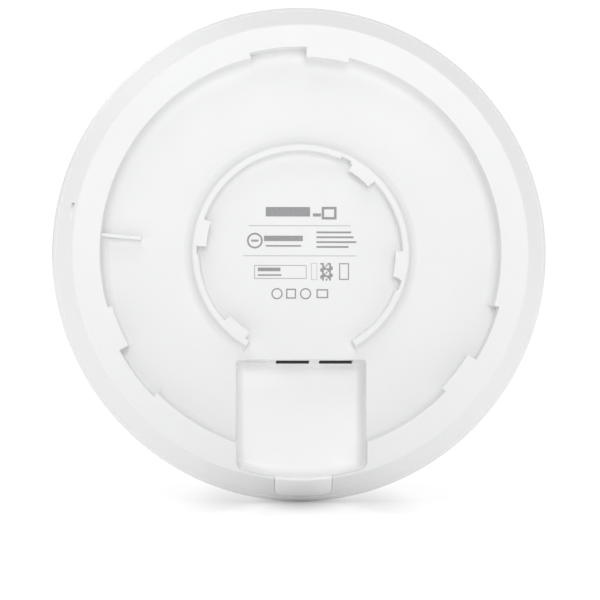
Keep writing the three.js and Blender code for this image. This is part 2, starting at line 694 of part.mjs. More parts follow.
// Spring fingers on one bar, along the board side of the plug's cavity.
function jackContacts(x) {
  const { count, pitch, width, thickness, reach } = CONTACTS;
  const barEnd = JACK_FRONT_Z + PLUG.depth - FIT_GAP;
  const boardSide = PLUG_BACK + PLUG.height - FIT_GAP;
  const half = CONTACT_BAR.width / 2;
  const barDepth = [boardSide - CONTACT_BAR.height, boardSide];
  let comb = block([x - half, x + half], barDepth, [barEnd - CONTACT_BAR.thickness, barEnd]);
  const fingerBack = boardSide - (CONTACT_BAR.height + thickness) / 2 - 0.35;
  for (let i = 0; i < count; i += 1) {
    const fingerX = x + (i - (count - 1) / 2) * pitch;
    const finger = block([fingerX - width / 2, fingerX + width / 2], [fingerBack, fingerBack + thickness],
      [barEnd - reach, barEnd - CONTACT_BAR.thickness / 2]);
    comb = comb.add(finger);
  }
  return comb;
}

for (const [name, x] of [['main', MAIN_PORT_X], ['second', SECOND_PORT_X]]) {
  addNode(`jack_shell_${name}`, jackShell(x), 'tinnedSteel');
  addNode(`jack_insert_${name}`, jackInsert(x), 'blackPlastic');
  addNode(`jack_contacts_${name}`, jackContacts(x), 'gold');
}

// ---------------------------------------------------------------- reset button

const STEM_END_Z = -(POCKET_TOP - RESET_STEM.end);

function resetButton() {
  const clearance = FIT_GAP + 0.1;
  const half = RESET_OPENING.width / 2 - clearance;
  const halfHeight = RESET_OPENING.height / 2 - clearance;
  const wallZ = -(POCKET_TOP + PORT_SLOPE * (RESET_DEPTH - halfHeight - RECESS_DEPTH));
  const faceZ = wallZ + RESET_CAP.sink;
  const capEnd = faceZ + RESET_CAP.thickness;
  const cap = block([RESET_X - half, RESET_X + half], [RESET_DEPTH - halfHeight, RESET_DEPTH + halfHeight],
    [faceZ, capEnd]);
  const stemX = [RESET_X - RESET_STEM.width / 2, RESET_X + RESET_STEM.width / 2];
  const stemDepth = [RESET_DEPTH - RESET_STEM.height / 2, RESET_DEPTH + RESET_STEM.height / 2];
  return cap.add(block(stemX, stemDepth, [capEnd - SINK, STEM_END_Z]));
}

function resetSwitch() {
  const { width, height, reach } = RESET_SWITCH;
  const startZ = STEM_END_Z + RESET_TRAVEL + FIT_GAP;
  return block([RESET_X - width / 2, RESET_X + width / 2], [RESET_DEPTH - reach, BOARD_BACK - FIT_GAP],
    [startZ, startZ + height]);
}

addNode('reset_button', resetButton(), 'greyPlastic');
addNode('reset_switch', resetSwitch(), 'blackPlastic');

// ---------------------------------------------------------------- parts on the back of the main board

function boardBlock({ x, z, width, length, height }) {
  const boardSide = BOARD_BACK - FIT_GAP;
  return block([x - width / 2, x + width / 2], [boardSide - height, boardSide],
    [z - length / 2, z + length / 2]);
}

function boardRound(x, z, radius, height) {
  const boardSide = BOARD_BACK - FIT_GAP;
  return bar(radius, boardSide - height, boardSide, new THREE.Vector3(x, 0, z), 20);
}

const MAGNETICS_Z = JACK_FRONT_Z + JACK.length + MAGNETICS.offset;
addNode('magnetics_main', boardBlock({ x: MAIN_PORT_X, z: MAGNETICS_Z, ...MAGNETICS }), 'blackPlastic');
addNode('magnetics_second', boardBlock({ x: SECOND_PORT_X, z: MAGNETICS_Z, ...MAGNETICS }), 'blackPlastic');
addNode('poe_transformer', boardBlock(TRANSFORMER), 'ferrite');
addNode('power_inductor', boardBlock(INDUCTOR), 'ferrite');
CAPACITORS.places.forEach(([x, z], i) => {
  addNode(`capacitor_${i + 1}`, boardRound(x, z, CAPACITORS.radius, CAPACITORS.height), 'aluminium');
});

// ---------------------------------------------------------------- radios and processor, on its front

function shieldCan({ x, z, width, length }) {
  const outside = (inset, front) => block(
    [x - width / 2 + inset, x + width / 2 - inset],
    [inset > 0 ? CAN_BACK - OVERRUN : CAN_BACK, front],
    [z - length / 2 + inset, z + length / 2 - inset]);
  return outside(0, CAN_BACK + CAN_HEIGHT).subtract(outside(CAN_WALL, CAN_BACK + CAN_HEIGHT - CAN_WALL));
}

// A square block on the front side, from one depth to another.
function frontSquare({ x, z, size }, back, front) {
  return block([x - size / 2, x + size / 2], [back, front], [z - size / 2, z + size / 2]);
}

function chip(place) {
  return frontSquare(place, CAN_BACK, CAN_BACK + CHIP_HEIGHT);
}

for (const can of CANS) {
  addNode(`shield_can_${can.name}`, shieldCan(can), 'tinnedSteel');
  addNode(`${can.chip}_${can.name}`, chip({ ...can, size: CHIP_SIZE }), 'blackPlastic');
  const pad = frontSquare({ ...can, size: PAD_SIZE }, PAD_BACK, PAD_BACK + PAD_THICKNESS);
  addNode(`thermal_pad_${can.name}`, pad, 'thermalPad');
}
addNode('memory_chip', chip(MEMORY_CHIP), 'blackPlastic');
addNode('flash_chip', chip(FLASH_CHIP), 'blackPlastic');

// ---------------------------------------------------------------- antennas and their leads

const ANTENNA_BACK = SPREADER_FRONT + FIT_GAP;

// A bent sheet: a foot on the spreader, an upright and a plate over the foot.
function sheetAntenna(angle, height, width) {
  const start = ANTENNA_CIRCLE - ANTENNA_FOOT / 2;
  const end = start + ANTENNA_FOOT;
  const front = ANTENNA_BACK + height;
  const footWidth = 0.4 * width;
  const foot = discBlock(angle, [start, end], [ANTENNA_BACK, ANTENNA_BACK + SHEET], footWidth);
  const upright = discBlock(angle, [end - SHEET, end], [ANTENNA_BACK, front], footWidth);
  const top = discBlock(angle, [start, end], [front - SHEET, front], width);
  return foot.add(upright).add(top);
}

function antennaLead(angle) {
  const startRadius = ANTENNA_CIRCLE - 7;
  const holeRadius = leadHoleRadius(angle);
  const route = new THREE.CatmullRomCurve3([
    onDisc(startRadius, angle, ANTENNA_BACK + LEAD_RADIUS + 0.8),
    onDisc(startRadius - 3, angle, ANTENNA_BACK + LEAD_RADIUS + 0.9),
    onDisc(holeRadius + 0.6, angle, ANTENNA_BACK + 0.6),
    onDisc(holeRadius, angle, SPREADER_BACK),
    onDisc(holeRadius, angle, CAN_BACK + 0.2),
  ]);
  const section = new THREE.Shape();
  section.absarc(0, 0, LEAD_RADIUS, 0, 2 * Math.PI, false);
  return makeSolid(new THREE.ExtrudeGeometry(section, { steps: 8, extrudePath: route, curveSegments: 8 }));
}

LOW_BAND_ANGLES.forEach((angle, i) => {
  const antenna = sheetAntenna(angle, ANTENNA_HEIGHT.low, ANTENNA_WIDTH.low);
  addNode(`antenna_low_band_${i + 1}`, antenna, 'brass');
  addNode(`antenna_lead_low_${i + 1}`, antennaLead(angle), 'blackPlastic');
});
HIGH_BAND_ANGLES.forEach((angle, i) => {
  const antenna = sheetAntenna(angle, ANTENNA_HEIGHT.high, ANTENNA_WIDTH.high);
  addNode(`antenna_high_band_${i + 1}`, antenna, 'brass');
  addNode(`antenna_lead_high_${i + 1}`, antennaLead(angle), 'greyPlastic');
});

export default part;
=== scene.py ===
"""Looks for the ceiling access point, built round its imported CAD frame.

Metres, in the CAD frame: the disc's axis is Y, the mounting side faces +Y with its flat ring at
y = 0, and +Z is up. Sizes are written in millimetres and multiplied by MM. Depths count forwards
from the flat ring. Angles go counter-clockwise as seen from behind, starting at the -X side.
"""

import json
import math

import bmesh
import bpy
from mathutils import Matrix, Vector


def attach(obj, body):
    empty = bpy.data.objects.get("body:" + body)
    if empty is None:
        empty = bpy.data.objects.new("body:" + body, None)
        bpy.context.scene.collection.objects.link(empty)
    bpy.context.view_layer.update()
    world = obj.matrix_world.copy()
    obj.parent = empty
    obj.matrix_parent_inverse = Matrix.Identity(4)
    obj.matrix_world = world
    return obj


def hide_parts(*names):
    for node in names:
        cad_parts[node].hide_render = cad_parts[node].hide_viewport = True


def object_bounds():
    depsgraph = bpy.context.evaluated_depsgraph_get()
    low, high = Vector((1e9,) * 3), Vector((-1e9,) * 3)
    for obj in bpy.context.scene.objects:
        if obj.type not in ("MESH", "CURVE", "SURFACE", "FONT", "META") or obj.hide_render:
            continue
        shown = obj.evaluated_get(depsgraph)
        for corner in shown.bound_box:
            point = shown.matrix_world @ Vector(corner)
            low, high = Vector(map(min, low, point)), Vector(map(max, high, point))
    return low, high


MM = 0.001
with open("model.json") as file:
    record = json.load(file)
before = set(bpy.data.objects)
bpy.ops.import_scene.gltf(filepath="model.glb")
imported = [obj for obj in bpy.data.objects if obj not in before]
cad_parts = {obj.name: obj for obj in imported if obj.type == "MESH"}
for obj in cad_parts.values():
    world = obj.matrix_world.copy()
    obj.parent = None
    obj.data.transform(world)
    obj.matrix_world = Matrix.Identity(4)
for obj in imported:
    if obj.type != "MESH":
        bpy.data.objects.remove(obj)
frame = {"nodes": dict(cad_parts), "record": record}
CAD_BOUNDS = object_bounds()

# ---------------------------------------------------------------- driving sizes, in millimetres

OUTER_RADIUS = 110
TOTAL_DEPTH = 48
WALL = 2
FIT_GAP = 0.3

LIP_RADIUS = 99.7
SEAM_RADIUS = 108
SEAM_DEPTH = 12
SKIRT_OUTER = 105.8
SKIRT_INNER = 104.2
SKIRT_END = 15.5
RECESS_RADIUS = 87.7
RECESS_DRAFT = 0.7
RECESS_DEPTH = 9
CHANNEL_INNER = RECESS_RADIUS + 4
COVER_INSIDE = RECESS_DEPTH + WALL

BAYONET_STARTS = (76, 196, 316)
BAYONET_TAB_SPAN = 12.5
BAYONET_NOTCH_SPAN = 16
BAYONET_STEP = 2.2
BAYONET_TAB_THICKNESS = 3

RING_INNER = 44.6
RING_TOP_OUTER = 47.6
RING_FOOT_OUTER = 52.8
RING_TOP = RECESS_DEPTH - 6.2
RING_GAP = 60
RING_TABS = (52, 169, 229.5, 353)
RING_TAB_SPAN = 15.5
RING_TAB_REACH = 3.1
RING_TAB_THICKNESS = 2.4
RING_SLOTS = (64, 178.2, 341.5)
RING_SLOT_SPAN = 6
RING_SLOT_DEPTH = 1.2

POCKET_X = -0.3
POCKET_HALF = 28.4
POCKET_LEFT = POCKET_X - POCKET_HALF
POCKET_RIGHT = POCKET_X + POCKET_HALF
POCKET_TOP = 47.3
POCKET_FLOOR = 25.5
POCKET_LEAN = 1.2
POCKET_RADIUS = 98.7
POCKET_WALL = 1.6
PORT_SLOPE = POCKET_LEAN / (POCKET_FLOOR - RECESS_DEPTH)

OUTLET_X = -1
OUTLET_HALF = 12.5
OUTLET_DEPTH = 10.4
OUTLET_CORNER = 2.5

FLANK_SLOPE = SEAM_DEPTH / (SEAM_RADIUS - LIP_RADIUS)
FLANK_SIDEWAYS = WALL * math.hypot(1, 1 / FLANK_SLOPE)
FLANK_INNER_START = (SKIRT_INNER + FLANK_SIDEWAYS - LIP_RADIUS) * FLANK_SLOPE
CHANNEL_OUTER = LIP_RADIUS + WALL / FLANK_SLOPE - FLANK_SIDEWAYS

RIB_ANGLE = 175
RIB_LENGTH = 17.5
RIB_THICKNESS = 1.6
RIB_HEIGHT = 5
RELEASE_ANGLE = 169.8
RELEASE_RADIUS = 101.7
RELEASE_LENGTH = 7
RELEASE_WIDTH = 1.5
RELEASE_DEPTH = 4.2
RELEASE_DIP = 1.4

MAIN_PORT_X = 3.2
SECOND_PORT_X = -16.1
PORT_WIDTH = 15
PORT_BACK = 11.9
PORT_FRONT = 24
RESET_X = 19.3
RESET_DEPTH = 20
RESET_WIDTH = 8.8
RESET_HEIGHT = 5
SCREW_CIRCLE = 70

LIGHT_FLANGE_BACK = 41.3
LIGHT_FLANGE_INNER = 42.5
LIGHT_FLANGE_OUTER = 53
DOME_SHOULDER = 17
DOME_WALL = 2.4
DOME_RIM_INNER = 106.3
DOME_POWER = 2.4
LIGHT_OUTER = 49
LIGHT_INNER = 46.3

# Steps of round shapes
ROUND_STEPS = 288
ARC_STEP = math.radians(18)
QUARTER = [math.radians(a) for a in (0, 18, 36, 54, 72, 90)]

# ---------------------------------------------------------------- light, floor and camera, in metres

# Each lamp: name, place, size, power. All of them face the disc.
LAMPS = (
    ("key", (-0.15, 3.7, 0.9), 1.8, 44),
    ("top", (0.3, 1.5, 2.4), 1.6, 16),
    ("front_fill", (0.9, -1.4, 1.2), 0.9, 6),
)

# (position, value) stops. The surround runs from ahead of the dome to behind the back ring.
SURROUND_AXIS = (0, 1, -0.2)
SURROUND_LIGHT = ((0.02, 0.25), (0.36, 1.0), (0.5, 0.76), (0.6, 0.64), (0.72, 0.22), (0.98, 0.25))
SURROUND_SEEN = 1.05

# The floor's glow against the distance from the contact point, in X and Y times these scales; its dim
# start near that point is a painted contact shadow
FLOOR_GLOW = ((0.0, 0.12), (0.05, 0.42), (0.12, 0.62), (0.3, 0.8), (0.9, 1.0))
FLOOR_GLOW_ON_PART = 0.72
FLOOR_SCALE_X = 2.0
FLOOR_SCALE_Y = 0.7
FLOOR_REACH = 30
FLOOR_GREY = 0.6
FLOOR_ROUGHNESS = 0.16
FLOOR_GLOSS = 0.12

CAMERA_PLACE = (0.027, 0.8, -0.04)
CAMERA_AIM_HEIGHT = -0.0206
CAMERA_SENSOR = 36
CAMERA_LENS = 110.1


# ---------------------------------------------------------------- outlines

def offset(outline, distance):
    """A closed counter-clockwise outline moved outwards by distance, or inwards if it is negative."""
    moved = []
    count = len(outline)
    for i, point in enumerate(outline):
        here = Vector(point)
        first = (here - Vector(outline[i - 1])).normalized()
        second = (Vector(outline[(i + 1) % count]) - here).normalized()
        normal = Vector((first.y + second.y, -first.x - second.x))
        scale = distance / max(0.2, normal.length_squared / 2)
        moved.append((here.x + normal.x * scale, here.y + normal.y * scale))
    return moved


def rounded(corners, closed=True):
    """An outline from (x, y, radius) corners, with an arc at each corner that has a radius."""
    points = []
    count = len(corners)
    for i, (x, y, radius) in enumerate(corners):
        at_end = not closed and i in (0, count - 1)
        if radius <= 0 or at_end:
            points.append((x, y))
            continue
        here = Vector((x, y))
        before = (Vector(corners[i - 1][:2]) - here).normalized()
        after = (Vector(corners[(i + 1) % count][:2]) - here).normalized()
        half = before.angle(after) / 2
        reach = radius / math.tan(half)
        centre = here + (before + after).normalized() * radius / math.sin(half)
        start = here + before * reach - centre
        end = here + after * reach - centre
        turn = math.atan2(start.x * end.y - start.y * end.x, start.dot(end))
        steps = max(2, round(abs(turn) / ARC_STEP))
        for k in range(steps + 1):
            c = math.cos(turn * k / steps)
            s = math.sin(turn * k / steps)
            points.append((centre.x + c * start.x - s * start.y, centre.y + s * start.x + c * start.y))
    return points


def arc(radius, start, end, step=1.5):
    """Points in X and Z on a circle about the disc's axis, between two angles seen from behind."""
    steps = max(2, round(abs(end - start) / step))
    angles = [math.radians(start + (end - start) * k / steps) for k in range(steps + 1)]
    return [(-radius * math.cos(a), radius * math.sin(a)) for a in angles]


def counter_clockwise(outline):
    """The outline, reversed if it runs clockwise."""
    area = sum(outline[i - 1][0] * y - x * outline[i - 1][1] for i, (x, y) in enumerate(outline))
    return outline if area > 0 else outline[::-1]


def rectangle(low, high, corner):
    """A rounded rectangle from its low and high corners."""
    return rounded([(high[0], low[1], corner), (high[0], high[1], corner),
                    (low[0], high[1], corner), (low[0], low[1], corner)])


# ---------------------------------------------------------------- solids

def solid_from_loops(name, loops, closed=False):
    """A closed solid through loops of points in millimetres, capped unless closed on itself."""
    bm = bmesh.new()
    rows = [[bm.verts.new(Vector(p) * MM) for p in loop] for loop in loops]
    pairs = list(zip(rows, rows[1:]))
    if closed:
        pairs.append((rows[-1], rows[0]))
    for low, high in pairs:
        for i in range(len(low)):
            j = (i + 1) % len(low)
            bm.faces.new((low[i], low[j], high[j], high[i]))
    if not closed:
        bm.faces.new(rows[0][::-1])
        bm.faces.new(rows[-1])
    bmesh.ops.recalc_face_normals(bm, faces=bm.faces)
    if bm.calc_volume(signed=True) < 0:
        bmesh.ops.reverse_faces(bm, faces=bm.faces)
    mesh = bpy.data.meshes.new(name)
    bm.to_mesh(mesh)
    bm.free()
    obj = bpy.data.objects.new(name, mesh)
    bpy.context.scene.collection.objects.link(obj)
    return obj


def turn_point(radius, depth, angle):
    """The point at that radius, depth and angle seen from behind, in degrees."""
    a = math.radians(angle)
    return (-radius * math.cos(a), -depth, radius * math.sin(a))


def turned_ring(name, outline, steps=ROUND_STEPS):
    """A ring about the disc's axis from a closed (radius, depth) outline."""
    loops = [[turn_point(r, depth, 360 * k / steps) for r, depth in outline] for k in range(steps)]
    return solid_from_loops(name, loops, closed=True)


def turned_disc(name, outline, steps=ROUND_STEPS):
    """A disc from an open (radius, depth) outline; flat caps close its two ends."""
    loops = [[turn_point(r, depth, 360 * k / steps) for k in range(steps)] for r, depth in outline]
    return solid_from_loops(name, loops)


def prism(name, levels):
    """A solid through (outline, depth) levels; outlines are in X and Z."""
    loops = [[(x, -depth, z) for x, z in outline] for outline, depth in levels]
    return solid_from_loops(name, loops)


def upright_prism(name, levels):
    """A solid through (outline, z) levels; outlines are in X and depth."""
    loops = [[(x, -depth, z) for x, depth in outline] for outline, z in levels]
    return solid_from_loops(name, loops)


def rounded_levels(outline, low, high, edge):
    """Levels of a prism from low to high whose edges at both ends are rounded."""
    outlines = [offset(outline, -edge * (1 - math.sin(t))) for t in QUARTER]
    insets = [edge * (1 - math.cos(t)) for t in QUARTER]
    start = [(shape, low + inset) for shape, inset in zip(outlines, insets)]
    end = [(shape, high - inset) for shape, inset in zip(outlines, insets)]
    return start + end[::-1]


def flare(outline, surface, edge):
    """First levels of a cutter, which round the edge that it makes in the surface at that depth."""
    levels = [(offset(outline, edge), surface - 3)]
    for t in QUARTER:
        levels.append((offset(outline, edge * (1 - math.sin(t))), surface + edge * (1 - math.cos(t))))
    return levels


def swept_sector(name, section, start, end, edge=0.35, step=1.25):
    """A (radius, depth) section swept between two angles, with its two ends rounded."""
    section = counter_clockwise(section)
    edge_angle = math.degrees(edge / (sum(r for r, _ in section) / len(section)))
    rounding = [(edge_angle * (1 - math.cos(t)), edge * (1 - math.sin(t))) for t in QUARTER]
    length = end - start - 2 * edge_angle
    count = max(2, round(length / step))
    stations = [(start + angle, inset) for angle, inset in rounding]
    stations += [(start + edge_angle + length * k / count, 0) for k in range(1, count)]
    stations += [(end - angle, inset) for angle, inset in reversed(rounding)]
    loops = []
    for angle, inset in stations:
        loops.append([turn_point(r, depth, angle) for r, depth in offset(section, -inset)])
    return solid_from_loops(name, loops)


def combine(base, tool, operation):
    """Joins, cuts or intersects base with tool, and deletes tool."""
    modifier = base.modifiers.new("boolean", "BOOLEAN")
    modifier.operation = operation
    modifier.object = tool
    modifier.solver = "MANIFOLD"
    graph = bpy.context.evaluated_depsgraph_get()
    result = bpy.data.meshes.new_from_object(base.evaluated_get(graph))
    base.modifiers.clear()
    base.data = result
    bpy.data.objects.remove(tool)
    return base


def add(base, tool):
    return combine(base, tool, "UNION")


def cut(base, tool):
    return combine(base, tool, "DIFFERENCE")


def smooth(obj, angle=32):
    """Shades curved faces smooth and keeps flat faces flat."""
    obj.data.shade_smooth()
    obj.data.set_sharp_from_angle(angle=math.radians(angle))
    modifier = obj.modifiers.new("weighted normals", "WEIGHTED_NORMAL")
    modifier.keep_sharp = True
    modifier.weight = 100


def bevel(obj, width, segments=3, angle=32):
    """Rounds the edges that are sharper than the angle."""
    modifier = obj.modifiers.new("bevel", "BEVEL")
    modifier.width = width * MM
    modifier.segments = segments
    modifier.limit_method = "ANGLE"
    modifier.angle_limit = math.radians(angle)


def stand_for(obj, node, material, body="housing"):
    """Finishes a piece that is shown in place of a CAD node."""
    obj.name = node + "_look"
    smooth(obj)
    obj.data.materials.clear()
    obj.data.materials.append(material)
    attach(obj, body)
    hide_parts(node)


# ---------------------------------------------------------------- back cover

def cover_shell():
    return turned_disc("cover_shell", rounded([
        (60, RECESS_DEPTH, 0),
        (RECESS_RADIUS - RECESS_DRAFT, RECESS_DEPTH, 3.5),
        (RECESS_RADIUS, 0, 0.4),
        (LIP_RADIUS, 0, 0.9),
        (SEAM_RADIUS, SEAM_DEPTH, 0.3),
        (SKIRT_OUTER, SEAM_DEPTH, 0),
        (SKIRT_OUTER, SKIRT_END, 0.3),
        (SKIRT_INNER, SKIRT_END, 0.3),
        (SKIRT_INNER, FLANK_INNER_START, 0),
        (CHANNEL_OUTER, WALL, 0),
        (CHANNEL_INNER, WALL, 0),
        (CHANNEL_INNER, COVER_INSIDE, 0),
        (60, COVER_INSIDE, 0),
    ], closed=False))


def add_bayonet(cover):
    """Three inward tabs on the recess rim, each followed by an outward notch."""
    flush = 0.02
    tab = rectangle((RECESS_RADIUS - BAYONET_STEP, flush),
                    (RECESS_RADIUS + 1.5, BAYONET_TAB_THICKNESS), 0.35)
    for start in BAYONET_STARTS:
        notch_start = start + BAYONET_TAB_SPAN
        notch_end = notch_start + BAYONET_NOTCH_SPAN
        add(cover, swept_sector("tab", tab, start, notch_start))
        outline = counter_clockwise(arc(RECESS_RADIUS + BAYONET_STEP, notch_start, notch_end)
                                    + arc(RECESS_RADIUS - 5, notch_end, notch_start))
        cut(cover, prism("notch", flare(outline, 0, 0.45) + [(outline, RECESS_DEPTH)]))


def locating_ring():
    """The C-shaped ring with its foot fillets, entry slots and inward tabs."""
    sunk = RECESS_DEPTH + 0.03
    root = RECESS_DEPTH + 0.7
    section = rounded([
        (RING_TOP_OUTER, RING_TOP, 1.1),
        (RING_TOP_OUTER + 1.4, sunk, 4),
        (RING_FOOT_OUTER + 0.9, sunk, 0),
        (RING_FOOT_OUTER + 0.9, root, 0),
        (RING_INNER - 1.2, root, 0),
        (RING_INNER - 1.2, sunk, 0),
        (RING_INNER, sunk, 0.7),
        (RING_INNER, RING_TOP, 0.9),
    ])
    start = 270 + RING_GAP / 2
    ring = swept_sector("ring", section, start - 360, start - RING_GAP, edge=0.5)
    slot_floor = RECESS_DEPTH - FIT_GAP
    slot = [(RING_INNER - 3, 0), (RING_INNER + RING_SLOT_DEPTH, 0),
            (RING_INNER + RING_SLOT_DEPTH, slot_floor), (RING_INNER - 3, slot_floor)]
    slot_half = RING_SLOT_SPAN / 2
    for middle in RING_SLOTS:
        cut(ring, swept_sector("slot", slot, middle - slot_half, middle + slot_half, edge=0.2))
    tab = rectangle((RING_INNER - RING_TAB_REACH, RING_TOP + 0.02),
                    (RING_INNER + 1.2, RING_TOP + RING_TAB_THICKNESS), 0.35)
    tab_half = RING_TAB_SPAN / 2
    for middle in RING_TABS:
        add(ring, swept_sector("ring_tab", tab, middle - tab_half, middle + tab_half))
    return ring


def turned_outline(outline, angle):
    """An outline drawn about the +X axis, turned to that angle seen from behind."""
    tilt = math.radians(180 - angle)
    c = math.cos(tilt)
    s = math.sin(tilt)
    return [(x * c - z * s, x * s + z * c) for x, z in outline]


def stop_rib():
    """The radial rib on the recess floor."""
    outer = RECESS_RADIUS + 1
    inner = outer - RIB_LENGTH - 1
    outline = rectangle((inner, -RIB_THICKNESS / 2), (outer, RIB_THICKNESS / 2), 0.7)
    outline = turned_outline(outline, RIB_ANGLE)
    levels = rounded_levels(outline, RECESS_DEPTH - RIB_HEIGHT, RECESS_DEPTH + 3, 0.45)
    half = len(levels) // 2
    return prism("rib", levels[:half] + [(outline, RECESS_DEPTH + 0.8)])


def pocket_outline(depth=RECESS_DEPTH, grow=0):
    """The cable pocket's outline in X and Z at a depth; its top edge follows the leaning port wall."""
    top = -(POCKET_TOP + PORT_SLOPE * max(0, depth - RECESS_DEPTH)) + grow
    left, right, radius = POCKET_LEFT - grow, POCKET_RIGHT + grow, POCKET_RADIUS + grow
    upper, lower = max(0.4, 1.2 + grow), max(0.4, 4 + grow)
    ends = [270 - math.degrees(math.asin(side / radius)) for side in (left, right)]
    inset = math.degrees(2 * lower / radius)
    span = ends[0] - ends[1] - 2 * inset
    bottom = [(x, z, 0) for x, z in arc(radius, ends[0] - inset, ends[1] + inset, step=span / 14)]
    outline = [(left, top, upper), (left, -math.sqrt(radius ** 2 - left ** 2), lower)] + bottom
    outline += [(right, -math.sqrt(radius ** 2 - right ** 2), lower), (right, top, upper)]
    return rounded(outline)


def pocket_tray():
    """The walls round the pocket, inside the cover."""
    depths = (0.9, RECESS_DEPTH, POCKET_FLOOR + POCKET_WALL)
    tray = prism("tray", [(pocket_outline(depth, POCKET_WALL), depth) for depth in depths])
    recess = turned_disc("recess", [(RECESS_RADIUS + 1, -1), (RECESS_RADIUS + 1, RECESS_DEPTH + 1)], 96)
    return cut(tray, recess)


def pocket_cutters():
    """The pocket's hollow, and a second cutter that rounds its edge on the recess floor."""
    corner = 3.5
    levels = flare(pocket_outline(), 0, 0.5) + [(pocket_outline(), RECESS_DEPTH)]
    for t in QUARTER:
        depth = POCKET_FLOOR - corner * (1 - math.sin(t))
        levels.append((pocket_outline(depth, -corner * (1 - math.cos(t))), depth))
    hollow = prism("pocket", levels)
    rim = flare(pocket_outline(), RECESS_DEPTH, 0.7) + [(pocket_outline(12), 12)]
    edge = prism("pocket_edge", rim)
    inside = turned_disc("inside", [(RECESS_RADIUS - 0.4, 0), (RECESS_RADIUS - 0.4, 14)], 96)
    return hollow, combine(edge, inside, "INTERSECT")


def cut_ports(cover):
    """Openings for the two jacks and the reset button in the leaning port wall."""
    low, high = -(POCKET_TOP + POCKET_LEAN + 2), -(POCKET_TOP - 4)
    half = PORT_WIDTH / 2
    openings = [((x - half, PORT_BACK), (x + half, PORT_FRONT)) for x in (MAIN_PORT_X, SECOND_PORT_X)]
    openings.append(((RESET_X - RESET_WIDTH / 2, RESET_DEPTH - RESET_HEIGHT / 2),
                     (RESET_X + RESET_WIDTH / 2, RESET_DEPTH + RESET_HEIGHT / 2)))
    for corner_low, corner_high in openings:
        outline = rectangle(corner_low, corner_high, 0.6)
        cut(cover, upright_prism("port", [(outline, low), (outline, high)]))


def outlet_prism(grow):
    """The outlet cover's outline in X and depth, swept along Z through the end wall and the flank."""
    half = OUTLET_HALF + grow
    depth = OUTLET_DEPTH + grow
    left, right = OUTLET_X - half, OUTLET_X + half
    outline = rounded([(right, -4, 0), (right, depth, OUTLET_CORNER),
                       (left, depth, OUTLET_CORNER), (left, -4, 0)])
    return upright_prism("outlet", [(outline, -POCKET_RADIUS - 14), (outline, -POCKET_RADIUS + 6)])


def back_release_notch(cover):
    """Thicker flank behind the release notch, so that the notch stays blind."""
    half_length = RELEASE_LENGTH / 2 + 2
    outline = rectangle((RELEASE_RADIUS - 3, -half_length), (RELEASE_RADIUS + 3, half_length), 0.5)
    outline = turned_outline(outline, RELEASE_ANGLE)
    walls = prism("release_walls", [(outline, WALL - 0.6), (outline, 8)])
    envelope = turned_disc("envelope", [(LIP_RADIUS - 1, 0.2), (SEAM_RADIUS - 1, SEAM_DEPTH + 0.2)])
    add(cover, combine(walls, envelope, "INTERSECT"))


def cut_release_slot(cover):
    """A shallow notch in the flank beside the back ring, whose floor dips towards its upper end."""
    half_width, half_length = RELEASE_WIDTH / 2, RELEASE_LENGTH / 2
    steps = 8
    loops = []
    for k in range(steps + 1):
        z = half_length * (1 - 2 * k / steps)
        floor = RELEASE_DEPTH + RELEASE_DIP * (1 - k / steps) ** 3
        corners = [(RELEASE_RADIUS - half_width, -1), (RELEASE_RADIUS + half_width, -1),
                   (RELEASE_RADIUS + half_width, floor), (RELEASE_RADIUS - half_width, floor)]
        loops.append([(*turned_outline([(x, z)], RELEASE_ANGLE)[0], depth) for x, depth in corners])
    loops = [[(x, -depth, z) for x, z, depth in loop] for loop in loops]
    cut(cover, solid_from_loops("release", loops))


def add_bosses(cover):
    """Four bosses inside the cover that take the board screws."""
    for angle in (45, 135, 225, 315):
        x, _, z = turn_point(SCREW_CIRCLE, 0, angle)
        circle = [(math.cos(a), math.sin(a)) for a in (math.tau * k / 32 for k in range(32))]
        for radius, low, high, join in ((3.6, COVER_INSIDE - 0.5, 24.6, add), (1.6, 14, 26, cut)):
            outline = [(x + radius * c, z + radius * s) for c, s in circle]
            join(cover, prism("boss", [(outline, low), (outline, high)]))


def back_cover():
    cover = cover_shell()
    add(cover, pocket_tray())
    add_bayonet(cover)
    add(cover, locating_ring())
    add(cover, stop_rib())
    hollow, edge = pocket_cutters()
    cut(cover, hollow)
    cut(cover, edge)
    cut_ports(cover)
    cut(cover, outlet_prism(0.2))
    back_release_notch(cover)
    cut_release_slot(cover)
    add_bosses(cover)
    return cover


def paint_pocket_light_and_port_shade(cover):
    """Gives the pocket's smooth faces a brighter and glossier copy of the white plastic, which is
    painted light, and paints its ports' front sides black as painted shade.
    """
    cover.data.materials.append(PAINTED_LIGHT_WHITE)
    cover.data.materials.append(BLACK)
    low = -POCKET_RADIUS - 0.5
    for face in cover.data.polygons:
        x = face.center.x / MM
        depth = -face.center.y / MM
        z = face.center.z / MM
        across_pocket = abs(x - POCKET_X) < POCKET_HALF + 0.2 and low < z < -POCKET_TOP + 0.2
        # Painted light: the pocket's faces take the brighter copy of the white plastic.
        if across_pocket and RECESS_DEPTH + 0.8 < depth < POCKET_FLOOR + 0.1:
            face.material_index = 1
        in_port = any(abs(x - port) < PORT_WIDTH / 2 + 0.1 for port in (MAIN_PORT_X, SECOND_PORT_X))
        at_front_side = PORT_FRONT - 0.7 < depth < PORT_FRONT + 0.1 and abs(z + POCKET_TOP) < 3
        # Painted shade: the ports' front sides take the black plastic, standing in for the shadow inside
        # the openings.
        if in_port and at_front_side and face.normal.y > 0.5:
            face.material_index = 2


def cable_outlet_cover():
    depth = OUTLET_DEPTH + 1
    flank = LIP_RADIUS + (SEAM_RADIUS - LIP_RADIUS) * depth / SEAM_DEPTH
    blank = turned_ring("outlet_blank", rounded([
        (POCKET_RADIUS, 0, 0.2), (LIP_RADIUS, 0, 0.9), (flank, depth, 0), (POCKET_RADIUS, depth, 0)]))
    cover = combine(blank, outlet_prism(0.05), "INTERSECT")
    bevel(cover, 0.22, segments=2, angle=50)
    return cover


# ---------------------------------------------------------------- dome, light ring and cap

